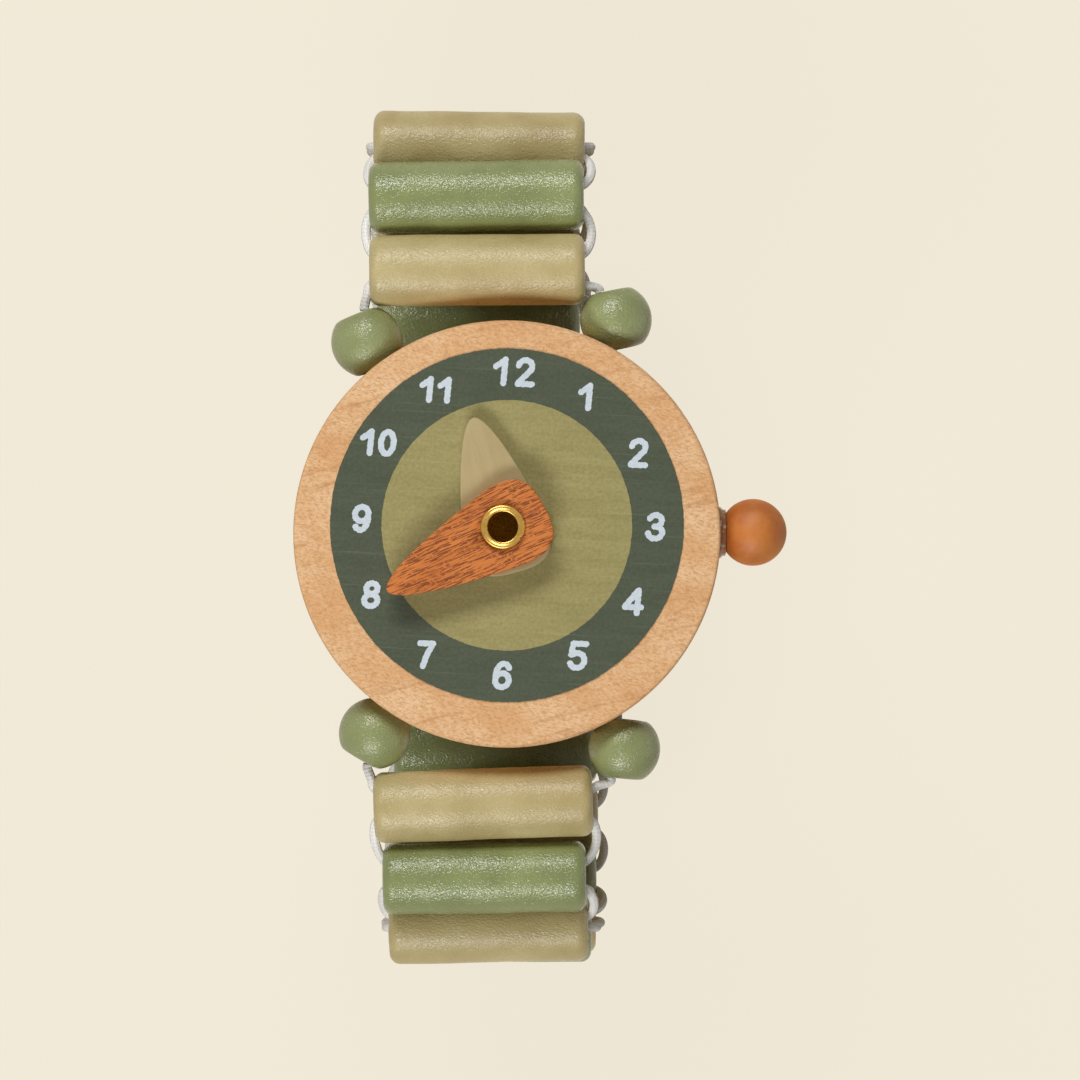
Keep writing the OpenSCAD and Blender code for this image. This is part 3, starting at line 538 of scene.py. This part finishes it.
def numeral_grids():
    """All the numerals' strokes as grids, leaned and placed on their ring. The section's four corners are
    the columns of each grid, and the points along the stroke are its rows."""
    open_grids, closed_grids, count, base = [], [], 0, DIAL_Z + PRINT_T
    for hour in range(1, 13):
        angle = np.radians(30 * hour + PRINT_TURN + NUMERAL_TURNS[hour - 1])
        spot = PRINT + NUMERAL_R * (1 + NUMERAL_OUTS[hour - 1]) * np.array([np.sin(angle), np.cos(angle)])
        aside = DIGIT_STEPS.get(hour, 0) * NUMERAL_H / 2
        digits = [(hour, 0.0)] if hour < 10 else [(1, -aside), (hour - 10, aside)]
        for value, shift in digits:
            for line, closed in stroke_lines(value, NUMERAL_H * NUMERAL_HEIGHTS[hour - 1]):
                count += 1
                sides = []
                for edge in stroke_edges(line, closed, seed=7 * count):
                    leaned = edge + np.column_stack([edge[:, 1] * NUMERAL_LEAN + shift, 0 * edge[:, 1]])
                    sides.append(spot + turned_clockwise(leaned, PRINT_TURN))
                top = NUMERAL_T + TOP_STEP * (count % 5)
                rows = [np.column_stack([sides[s], np.full(len(sides[s]), base + z)])
                        for s, z in ((0, 0.0), (0, top), (1, top), (1, 0.0))]
                (closed_grids if closed else open_grids).append(np.stack(rows, axis=1))
    return open_grids, closed_grids


open_strokes, closed_strokes = numeral_grids()
grid_piece("numerals", open_strokes, white_ink, "case", ["numerals"], smooth=False)
grid_piece("numeral_ovals", closed_strokes, white_ink, "case", ["numerals"],
           loop_u=True, smooth=False)

# Hands
HANDS = {  # reach of the tip and of the tail, half width, powers of tip and tail, and shift aside
    "hour_hand": (9.4, 3.92, 3.65, 0.56, 3.0, 0.06),
    "minute_hand": (10.93, 3.83, 3.51, 0.54, 3.0, -0.12),
}


def hand_outline(reach, tail, half_width, tip_power, tail_power, aside):
    """Outline of a hand along +Y, fitted to the photo. It is widest a tenth of the tail behind the hub.
    Ahead of that the half width is w ((reach - y) / (reach - widest)) ** tip_power. Behind it, with q as the
    share of the way to the tail's end, it is w (1 - q ** tail_power) ** (1 / tail_power)."""
    widest, points = -tail * 0.1, 90
    t = np.linspace(0, np.pi, points)
    y = (reach - tail) / 2 - (reach + tail) / 2 * np.cos(t)
    ahead = half_width * np.clip((reach - y) / (reach - widest), 0, 1) ** tip_power
    share = np.clip((widest - y) / (tail + widest), 0, 1)
    behind = half_width * np.clip(1 - share ** tail_power, 0, 1) ** (1 / tail_power)
    x = np.where(y > widest, ahead, behind)
    return np.concatenate([np.column_stack([x + aside, y]), np.column_stack([aside - x, y])[-2:0:-1]])


def hand(name, turn, base_z, material, edge):
    """A hand with softened edges: rows run from the hole out over the top, down the rounded side and back
    under, as p = (1 - s) hole + s outline, with the outline drawn in by the edge radius at its rims."""
    outline = hand_outline(*HANDS[name])
    bearing = np.arctan2(outline[:, 0], outline[:, 1])
    hole = HAND_HOLE_R * np.stack([np.sin(bearing), np.cos(bearing)], axis=1)
    inward = -outline / np.linalg.norm(outline, axis=1)[:, None]
    rows = []
    for share in (0, 0.25, 0.5, 0.75, 0.92):
        rows.append(((1 - share) * hole + share * (outline + edge * inward), HAND_T))
    for a in np.radians([90, 60, 30, 0]):
        rows.append((outline + edge * (1 - np.cos(a)) * inward, HAND_T - edge * (1 - np.sin(a))))
    for a in np.radians([0, 30, 60, 90]):
        rows.append((outline + edge * (1 - np.cos(a)) * inward, edge * (1 - np.sin(a))))
    rows.append((hole, 0.0))
    grid = np.array([np.column_stack([HUB + turned_clockwise(flat, turn), np.full(len(flat), base_z + z)])
                     for flat, z in rows])
    grid_piece(name, [grid], material, name, [name], loop_u=True)


hand("hour_hand", HOUR_TURN, HOUR_Z, hour_stain, edge=0.14)
hand("minute_hand", MINUTE_TURN, MINUTE_Z, minute_stain, edge=0.12)


# Eyelet and crown
def rolled_ring(height, middle_r, ring_r, start, end):
    """The section of one rolled ring of the eyelet's lip, as (height, radius)."""
    return [(LIP_Z + height + p[1], middle_r + p[0]) for p in arc((0, 0), ring_r, start, end, count=10)]


def eyelet_section():
    """Half section of the eyelet as (height, radius): the tube, a lip of two rolled rings with a groove
    between them on the dial side, and the flat flare on the rear side. The photo shows no light through the
    tube, so its rear end is drawn closed."""
    lip = [(LIP_Z + 0.02, TUBE_OUT_R), (LIP_Z + 0.02, 1.7)]
    outer = rolled_ring(0.2, 1.66, 0.17, -60, 110)
    inner = rolled_ring(0.33, 1.39, 0.15, 60, 190)
    tube_wall = [(LIP_Z + 0.1, TUBE_IN_R), (BACK_Z - 0.2, TUBE_IN_R), (BACK_Z - 0.2, NEARLY_SHUT),
                 (BACK_Z - 0.5, NEARLY_SHUT)]
    flare = [(BACK_Z - 0.5, FLARE_R - 0.1), (BACK_Z - 0.42, FLARE_R), (BACK_Z - 0.3, FLARE_R),
             (BACK_Z - 0.3, TUBE_OUT_R)]
    return np.array(lip + outer + inner + tube_wall + flare)


def seam_crack(along, angle, radius):
    """The rolled lip is split at about 4 o'clock: the radius pinches in a narrow notch there, as
    -depth exp(-(gap / width) ** 2), where the gap is the angle from the seam."""
    seam, depth, width = np.radians(-32), 0.16, 0.035
    gap = np.abs((angle - seam + np.pi) % (2 * np.pi) - np.pi)
    on_lip = (along > LIP_Z + 0.05) & (radius > 1.5)
    return np.where(on_lip, -depth * np.exp(-(gap / width) ** 2), 0.0)


eyelet_grid = revolved(eyelet_section(), np.array([HUB[0], HUB[1], 0.0]), UP, ACROSS, sides=160,
                       ripple=seam_crack)
grid_piece("eyelet", [eyelet_grid], brass, "case", ["eyelet"], loop_u=True)


def crown_section():
    """Half section of the crown ball as (distance from its middle, radius): a hole for the dowel, the glued
    flat, and the ball as sqrt(R R - t t) out to its far side."""
    flat_r = np.sqrt(CROWN_R ** 2 - CROWN_FLAT ** 2)
    start = np.degrees(np.arctan2(flat_r, -CROWN_FLAT))
    hole = [(0.0, NEARLY_SHUT), (0.0, DOWEL_HOLE_R), (-CROWN_FLAT, DOWEL_HOLE_R)]
    ball = arc((0, 0), CROWN_R, start, 0.4, count=48)
    return np.concatenate([hole, [(-CROWN_FLAT, flat_r - 0.1)], ball])


def crown_ripple(along, angle, radius):
    """A turned ball that is a little uneven under its paint: h (r / R) sin(2 a + 0.6 t)."""
    height = 0.012
    return height * radius * np.sin(2 * angle + 0.6 * along) / CROWN_R


grid_piece("crown_ball", [revolved(crown_section(), CROWN, ACROSS, UP, sides=72, ripple=crown_ripple)],
           crown_paint, "case", ["crown_ball"])


def glue_bead():
    """Squeezed-out glue: a thick ring from the case's flat seat to the crown's flat, lumpy round its edge."""
    wall = CASE[0] + CASE_R - GLUE_SEAT
    length = CROWN[0] - CROWN_FLAT - wall
    section = np.array([(0, GLUE_HOLE_R), (0, 2.05), (0.06, 2.16), (0.16, 2.2), (0.28, 2.14), (0.4, 2.02),
                        (0.52, 1.95), (length - 0.06, 1.98), (length, 1.86), (length, GLUE_HOLE_R)])

    def lumps(along, angle, radius):
        """Ripples of the outer edge in a few counts round the ring, none at the dowel."""
        ripple = wobble(angle + 0 * along, seed=21, waves=(2, 3, 5, 9, 14), size=0.05)
        return np.where(radius > GLUE_HOLE_R + 0.1, ripple - 0.06, 0.0)
    return revolved(section, np.array([wall, CROWN[1], CROWN[2]]), ACROSS, UP, sides=96, ripple=lumps)


grid_piece("crown_glue", [glue_bead()], glue, "case", ["crown_glue"], loop_u=True)


# Corner beads and bars
def bead_section():
    """Half section of a round bead as (distance along its hole, radius), closed through the hole:
    the ball sqrt(R R - t t) between two flats, joined by a fillet that touches both. The fillet's middle is
    (half - f, sqrt((R - f) ** 2 - (half - f) ** 2)). The hole's mouths have softened rims."""
    soft, rim, fillet = 0.16, 0.05, 0.85
    middle = (BEAD_HALF - fillet, np.sqrt((BEAD_R - fillet) ** 2 - (BEAD_HALF - fillet) ** 2))
    touch = np.degrees(np.arctan2(middle[1], middle[0]))
    ball = np.concatenate([arc((-middle[0], middle[1]), fillet, 180, 180 - touch, count=7)[:-1],
                           arc((0, 0), BEAD_R, 180 - touch, touch, count=40),
                           arc(middle, fillet, touch, 0, count=7)[1:]])
    right = [(BEAD_HALF, BEAD_BORE_R + soft), (BEAD_HALF - rim, BEAD_BORE_R + rim),
             (BEAD_HALF - soft, BEAD_BORE_R)]
    left = [(-t, r) for t, r in right[::-1]]
    return np.array(ball.tolist() + right + left)


def bead_direction(tilt):
    """Direction of a bead's hole, from its tilt clockwise from 12 o'clock."""
    return np.array([np.sin(np.radians(tilt)), np.cos(np.radians(tilt)), 0.0])


def corner_bead(name, tilt, seed):
    """A corner bead, a little uneven round its hole."""
    def uneven(along, angle, radius):
        """Ripples that fade to nothing at the hole."""
        return (radius - BEAD_BORE_R) * wobble(angle + 0.25 * along, seed, waves=(1, 2, 3), size=0.009)
    grid = revolved(bead_section(), middle_of(name), bead_direction(tilt), UP, sides=64, ripple=uneven)
    grid_piece(name, [grid], bead_paint, name, [name], loop_u=True)


for count, (bead_name, bead_tilt) in enumerate(BEADS.items()):
    corner_bead(bead_name, bead_tilt, seed=60 + count)


def bar_section(length):
    """Half section of a bar as (distance along it, radius), closed through its hole: a long barrel with
    rounded ends, a flat end face and a softened rim at each mouth of the hole."""
    half, barrel_rows = length / 2, 30
    end = arc((half - BAR_ROUND, BAR_R - BAR_ROUND), BAR_ROUND, 90, 0, count=9)
    barrel_half = half - BAR_ROUND - 0.3
    barrel = np.column_stack([np.linspace(-barrel_half, barrel_half, barrel_rows),
                              np.full(barrel_rows, BAR_R)])
    rim = [(half, 1.78), (half - 0.03, 1.68), (half - 0.12, BAR_BORE_R)]
    hole = [(half * s, BAR_BORE_R) for s in (0.6, 0.2, -0.2, -0.6)]
    left_end = [(-t, r) for t, r in end.tolist()[::-1]]
    left_rim = [(-t, r) for t, r in rim[::-1]]
    return np.array(left_rim + left_end + barrel.tolist() + end.tolist() + rim + hole)


def bar(name, body, length, turn, paint, slot, seed):
    """A tube bead of the strap, hand-sanded and painted, so its barrel ripples by a few hundredths."""
    angle = np.radians(turn)
    axis = np.array([np.cos(angle), np.sin(angle), 0.0])

    def uneven(along, round_angle, radius):
        """Long waves along the barrel and round it, none in the hole, all lowered by a wave's height."""
        waves, high = (1, 2), 0.02
        wave = (wobble(0.35 * along + round_angle, seed, waves, high)
                + wobble(0.55 * along, seed + 9, waves, high))
        outwards = (radius - BAR_BORE_R) / (BAR_R - BAR_BORE_R)
        return np.where(radius > BAR_BORE_R + 0.1, wave * outwards, 0.0) - high
    grid = revolved(bar_section(length), middle_of(name), axis, UP, sides=72, ripple=uneven)
    grid_piece(name, [grid], paint, body, [name], loop_u=True)


def bar_paint(k):
    """Bars alternate between beige and sage, counted from the case."""
    return (beige_paint, "beige_paint") if k % 2 else (green_paint, "green_paint")


SIDES = {"upper": (1, UPPER_LENGTHS, UPPER_TURNS), "lower": (-1, LOWER_LENGTHS, LOWER_TURNS)}
for side_name, (side, bar_lengths, bar_turns) in SIDES.items():
    for k in range(1, LINKS + 1):
        bar(f"bar_{side_name}_{k}", f"strap_{side_name}_{k}", bar_lengths[k - 1], bar_turns[k - 1],
            *bar_paint(k), seed=100 + 20 * side + k)
bar("bar_rear", "strap_rear", REAR_LENGTH, 0.0, *bar_paint(LINKS + 1), seed=140)


# Elastic
def bar_middle(side_name, k):
    """Middle of bar k, where the eleventh is the rear bar on both sides."""
    return middle_of("bar_rear" if k > LINKS else f"bar_{side_name}_{k}")


def bar_end(side_name, k, hand_side):
    """Where bar k ends on one side, along X."""
    length = REAR_LENGTH if k > LINKS else SIDES[side_name][1][k - 1]
    return bar_middle(side_name, k)[0] + hand_side * length / 2


def end_loop(side_name, k, hand_side):
    """The loop of elastic that hugs the ends of bars k and k + 1: half an ellipse, y = b sin t, x = a cos t.
    Its ends lie a tuck inside the holes, and it leans with the two bars' ends.
    Points are X and the distance from bar k towards the next bar."""
    near, far, points = CORD_SIDE, PITCH - CORD_SIDE, 37
    t = np.radians(np.linspace(-90, 90, points))
    y = (near + far) / 2 + (far - near) / 2 * np.sin(t)
    ends = [bar_end(side_name, n, hand_side) for n in (k, k + 1)]
    line = ends[0] + (ends[1] - ends[0]) * (y - near) / (far - near)
    reach = np.cos(t) * (LOOP_TUCK + LOOP_OUT[hand_side]) - LOOP_TUCK
    return np.column_stack([line + hand_side * reach, y])


def run_between(start, end, count=16):
    """A straight stretch inside a bar, without its last point."""
    return np.linspace(start, end, count, endpoint=False)


def step_cord(side_name, k, flat, seed):
    """Cord between bars k and k + 1: flat gives X and the distance from bar k towards the next bar,
    and the path lies in the plane through both bars' middles."""
    start, after = bar_middle(side_name, k), bar_middle(side_name, k + 1)
    towards = after - start
    towards[0] = 0
    towards /= np.linalg.norm(towards)
    path = np.array([0, start[1], start[2]]) + flat[:, :1] * ACROSS + flat[:, 1:] * towards
    return tube(path, np.cross(ACROSS, towards), seed)


def link_cord(side_name, k, seed):
    """A strand through bar k with a loop on each side back into the bar before it."""
    right, left = end_loop(side_name, k - 1, 1), end_loop(side_name, k - 1, -1)[::-1]
    inside = np.array([STRAND_END - LOOP_TUCK, 0])
    flat = np.concatenate([run_between(right[0] - inside, right[0]), right[:-1],
                           run_between(right[-1], left[0], count=30), left,
                           run_between(left[-1] + inside, left[-1])[::-1]])
    return step_cord(side_name, k - 1, flat, seed)


def cord_piece(name, body, made):
    """One elastic piece from its tubes."""
    grid_piece(name, [grid for grid, _ in made], braid, body, [name],
               lengths=[length for _, length in made])


def bead_mouth(name, end):
    """Where the cord leaves a corner bead, at its outer end 1 or its inner end -1: the bead's middle plus
    half its length along the hole, and a lean towards the middle of the strap."""
    along = bead_direction(BEADS[name])[:2]
    hand_side = -1 if "left" in name else 1
    across = np.array([along[1], -along[0]])
    inward = across * np.sign(across[0]) * -hand_side
    return middle_of(name)[:2] + end * BEAD_HALF * along + CORD_LEAN * inward


def eased_path(points):
    """A smooth curve through points: between p1 and p2 it is the cubic with slopes (p2 - p0) / 2 and
    (p3 - p1) / 2, h00 p1 + h10 m1 + h01 p2 + h11 m2 with the usual cubic weights of t."""
    points, steps = np.array(points, float), 9
    slopes = np.gradient(points, axis=0)
    t = np.linspace(0, 1, steps, endpoint=False)[:, None]
    h00, h10, h01, h11 = 2 * t**3 - 3 * t**2 + 1, t**3 - 2 * t**2 + t, -2 * t**3 + 3 * t**2, t**3 - t**2
    curve = (h00[None] * points[:-1, None] + h10[None] * slopes[:-1, None]
             + h01[None] * points[1:, None] + h11[None] * slopes[1:, None])
    return np.concatenate([curve.reshape(-1, 2), points[-1:]])


def flat_cord(flat, seed):
    """Cord in the plane of the case's middle."""
    return tube(np.column_stack([flat, np.full(len(flat), CASE[2])]), UP, seed)


def first_cord(side_name, side, seed):
    """The elastic that ties the first bar on: out of each corner bead's mouth, close past the bar's end, and
    in through its hole to the other side."""
    off_mouth, straight, spread, turn_in = 0.05, 0.35, 0.1, 1.5
    first = bar_middle(side_name, 1)
    entry = first[1] - side * CORD_SIDE
    halves = []
    for hand_side, hand_name in ((-1, "left"), (1, "right")):
        bead_name = f"bead_{side_name}_{hand_name}"
        along, end = bead_direction(BEADS[bead_name])[:2], bar_end(side_name, 1, hand_side)
        start = bead_mouth(bead_name, 1) + off_mouth * along
        ahead = start + straight * along - np.array([spread * hand_side, 0])
        beside = (end + 0.7 * hand_side * LOOP_OUT[hand_side], (ahead[1] + entry) / 2)
        halves.append([start, ahead, beside, (end - hand_side * spread, entry - side * spread),
                       (end - hand_side * turn_in, entry)])
    return flat_cord(eased_path(halves[0] + [(first[0], entry)] + halves[1][::-1]), seed)


strands = []
for count, hand_name in enumerate(("left", "right")):
    above, below = f"bead_upper_{hand_name}", f"bead_lower_{hand_name}"
    mouths = [bead_mouth(above, 1), bead_mouth(above, -1), bead_mouth(below, -1), bead_mouth(below, 1)]
    strands.append(flat_cord(rounded_path(mouths, BEAD_R), seed=count))
cord_piece("case_elastic", "case", strands)
for side_name, (side, _, _) in SIDES.items():
    cord_piece(f"elastic_{side_name}_1", f"strap_{side_name}_1",
               [first_cord(side_name, side, seed=30 + side)])
    for k in range(2, LINKS + 1):
        cord_piece(f"elastic_{side_name}_{k}", f"strap_{side_name}_{k}",
                   [link_cord(side_name, k, seed=40 + side * k)])
closing = [link_cord("upper", LINKS + 1, seed=70)]
for hand_side in (1, -1):
    loop = end_loop("lower", LINKS, hand_side)
    inside = np.array([hand_side * (STRAND_END - LOOP_TUCK), 0])
    flat = np.concatenate([run_between(loop[0] - inside, loop[0]), loop,
                           run_between(loop[-1] - inside, loop[-1])[::-1]])
    closing.append(step_cord("lower", LINKS, flat, seed=71 + hand_side))
cord_piece("elastic_rear", "strap_rear", closing)

# Floor, light and camera
FLOOR_COLOUR, BOUNCE_COLOUR, SHOWN, SKY = "#f3ebd9", "#a3977c", 0.9, 0.03
FLOOR_Z = -6.6  # just under the strap where it folds least, so that the floor cuts it at no pose
FLOOR_HALF = 3000
CAMERA_X, CAMERA_Y = -0.075, -0.25
SCALE_Z, LENS_DISTANCE = 34, 450  # at the height SCALE_Z a millimetre takes 12 pixels of the picture


def shown_rays(tree):
    """1 for a ray seen straight on, in a gloss or through glass, 0 for one that only lights the object."""
    light_path = add(tree, "LightPath")
    seen = add(tree, "Math", {0: light_path.outputs["Is Camera Ray"], 1: light_path.outputs["Is Glossy Ray"]},
               operation="ADD")
    return add(tree, "Math", {0: seen, 1: light_path.outputs["Is Transmission Ray"]}, operation="ADD",
               use_clamp=True)


def pale_floor():
    """Plain matt floor. Seen straight on, in a gloss or through glass it is the studio's even cream, with a
    share of the object's soft shadow, and it throws less light back up than so pale a sheet would."""
    material = bpy.data.materials.new("cream floor")
    tree = bare_tree(material)
    shown = shown_rays(tree)
    share = add(tree, "Math", {0: shown, 1: SHOWN}, operation="MULTIPLY")
    colour = add(tree, "Mix", {FACTOR: shown, UNDER: BOUNCE_COLOUR, OVER: FLOOR_COLOUR}, data_type="RGBA")
    matt = add(tree, "BsdfDiffuse", {"Color": colour.outputs[MIXED]})
    even = add(tree, "Emission", {"Color": FLOOR_COLOUR, "Strength": 1.0})
    add(tree, "OutputMaterial", {"Surface": add(tree, "MixShader", {0: share, 1: matt, 2: even})})
    return material


floor_mesh = bpy.data.meshes.new("floor")
floor_corners = [(x * FLOOR_HALF * MM, y * FLOOR_HALF * MM, FLOOR_Z * MM)
                 for x, y in ((-1, -1), (1, -1), (1, 1), (-1, 1))]
floor_mesh.from_pydata(floor_corners, [], [(0, 1, 2, 3)])
floor_mesh.materials.append(pale_floor())
floor = add_object("floor", floor_mesh)


def softbox(name, spot, target, size, power):
    """A soft white light at a spot, facing a target, sizes and places in millimetres."""
    data = bpy.data.lights.new(name, "AREA")
    data.shape, data.size, data.size_y = "RECTANGLE", size[0] * MM, size[1] * MM
    data.energy = power
    lamp = add_object(name, data)
    lamp.location = Vector(spot) * MM
    lamp.rotation_euler = (Vector(target) - Vector(spot)).to_track_quat("-Z", "Y").to_euler()


softbox("upper softbox", (-80, 290, 300), target=(0, 0, 30), size=(250, 115), power=1.17)
softbox("lower softbox", (-80, -290, 300), target=(0, 0, 30), size=(250, 115), power=1.06)
softbox("low right fill", (300, 0, 36), target=(0, 0, 20), size=(220, 50), power=0.08)

world = bpy.data.worlds.new("studio")
bpy.context.scene.world = world
world_tree = bare_tree(world)
strength = add(world_tree, "MapRange", {"Value": shown_rays(world_tree), "To Min": SKY, "To Max": SHOWN})
backdrop = add(world_tree, "Background", {"Color": FLOOR_COLOUR, "Strength": strength})
add(world_tree, "OutputWorld", {"Surface": backdrop})

camera_data = bpy.data.cameras.new("camera")
camera_data.lens, camera_data.sensor_width = 180, 36
camera = add_object("camera", camera_data)
camera.location = (CAMERA_X * MM, CAMERA_Y * MM, (SCALE_Z + LENS_DISTANCE) * MM)
bpy.context.scene.camera = camera
bpy.context.scene.view_settings.view_transform = "Standard"
